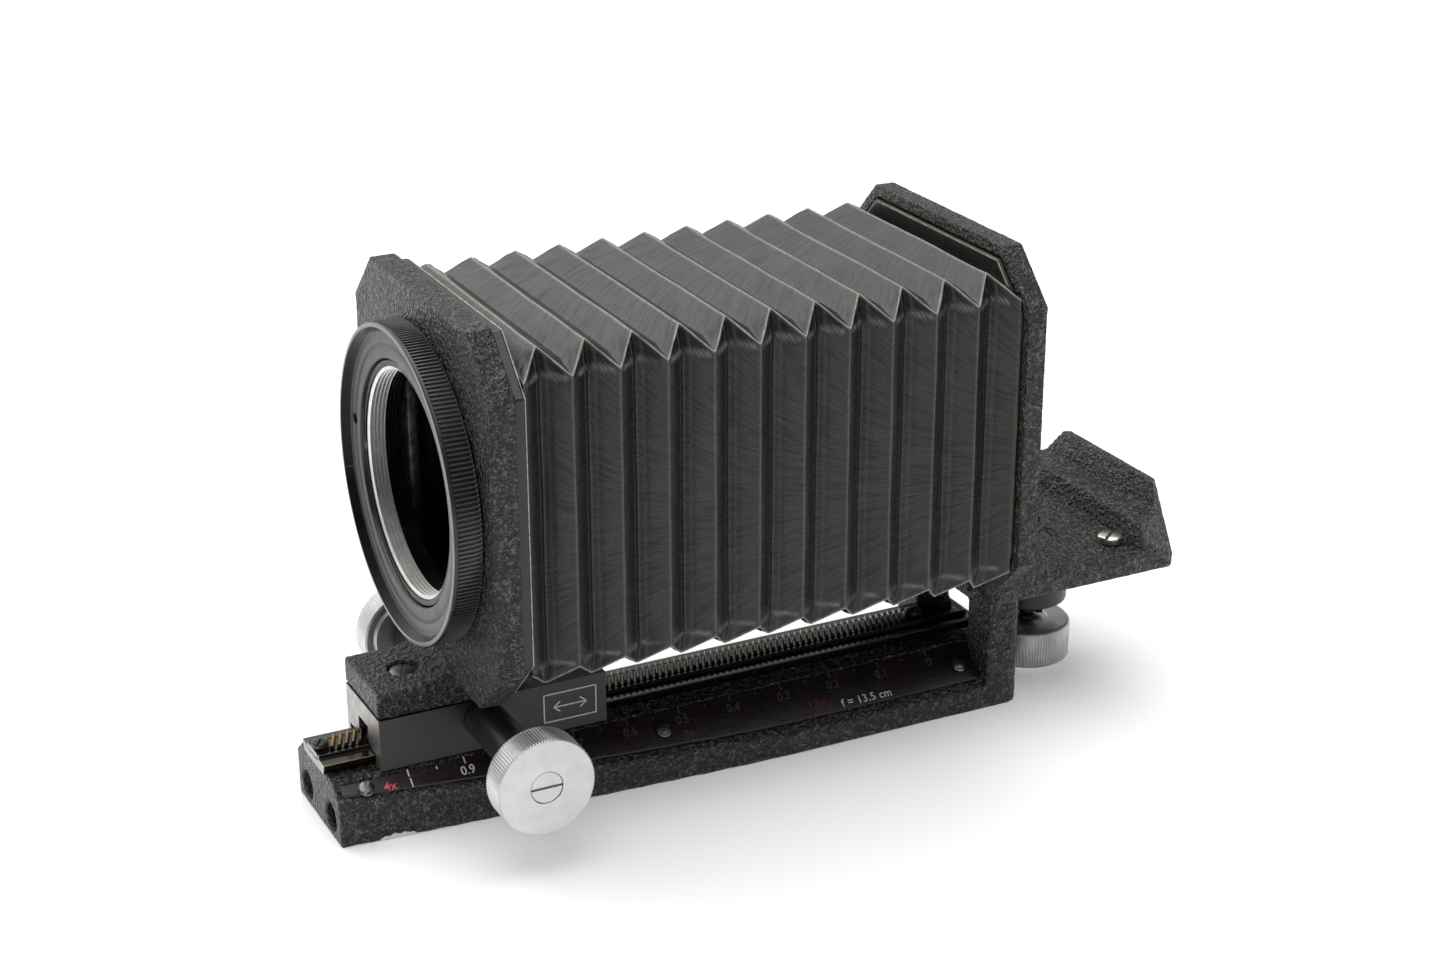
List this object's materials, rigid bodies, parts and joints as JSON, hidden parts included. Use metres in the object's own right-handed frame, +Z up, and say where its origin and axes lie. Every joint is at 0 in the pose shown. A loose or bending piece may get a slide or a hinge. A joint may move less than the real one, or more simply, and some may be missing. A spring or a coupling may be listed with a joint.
{
  "type": "view camera bellows",
  "caption": "Focusing bellows on a rack-and-pinion rail, with a lens standard that slides, a camera platform and a clamp knob.",
  "frame": {"origin": "on the rail casting's flat underside, half way along the rail and on its centre line", "axes": "+X along the rail from the lens towards the camera body, +Y across the rail, +Z up"},
  "size_m": [0.215, 0.0916, 0.1218],
  "materials": {
    "crackle_paint": "black crackle stove enamel on a casting",
    "leather": "glossy fine-grained black leathercloth",
    "black_anodised": "black anodised, satin",
    "brass": "machined, part blackened and worn bright at its edges",
    "aluminium": "satin, with a straight knurl",
    "steel": "bright machined steel and nickel plate",
    "black_steel": "blackened steel",
    "scale_paint": "dark brown-black scale plate with white and red figures"
  },
  "bodies": {
    "base": {"base_casting": "crackle_paint", "tripod_bush": "steel", "scale_plate": "scale_paint", "scale_screw_1": "black_steel", "scale_screw_2": "black_steel", "scale_screw_3": "black_steel", "guide_bar": "brass", "rack": "brass", "rack_screw_front": "black_steel", "rack_screw_rear": "black_steel", "rear_standard": "crackle_paint", "standard_screw_near": "black_steel", "standard_screw_far": "black_steel", "camera_stop_screw": "steel", "collar_screw": "black_steel", "camera_mount_ring": "steel", "rear_bellows_frame": "black_anodised", "clamp_collar": "black_anodised", "bellows": "leather"},
    "carriage": {"carriage_block": "black_anodised", "gib_strip": "brass", "gib_screw_1": "black_steel", "gib_screw_2": "black_steel", "near_barrel": "black_anodised", "far_barrel": "black_anodised", "front_standard": "crackle_paint", "foot_screw_front": "black_steel", "foot_screw_rear": "black_steel", "front_bellows_frame": "black_anodised"},
    "focus_drive": {"pinion_shaft": "steel", "pinion": "brass", "near_knob": "aluminium", "far_knob": "aluminium", "near_knob_screw": "aluminium", "far_knob_screw": "aluminium"},
    "lens_mount": {"lens_ring": "black_anodised", "lens_thread_insert": "steel", "ring_lock_screw": "black_steel"},
    "clamp": {"clamp_knob": "aluminium", "clamp_stem": "black_steel", "clamp_clip": "black_steel"}
  },
  "joints": [
    {"name": "focus_slide", "type": "slide", "parent": "base", "child": "carriage", "axis": [1, 0, 0], "range_m": [-0.027, 0.094], "deforming": ["bellows"]},
    {"name": "knob_turn", "type": "hinge", "parent": "carriage", "child": "focus_drive", "pos_m": [-0.051, 0, 0.0228], "axis": [0, 1, 0], "range_deg": [-425, 1470]},
    {"name": "lens_ring_turn", "type": "hinge", "parent": "carriage", "child": "lens_mount", "pos_m": [-0.0586, 0, 0.0783], "axis": [1, 0, 0], "continuous": true},
    {"name": "clamp_turn", "type": "hinge", "parent": "base", "child": "clamp", "pos_m": [0.1027, 0, 0.005], "axis": [0, 0, 1], "continuous": true}
  ],
  "couplings": [
    {"joint": "knob_turn", "follows": "focus_slide", "rad_per_m": 272.11}
  ]
}
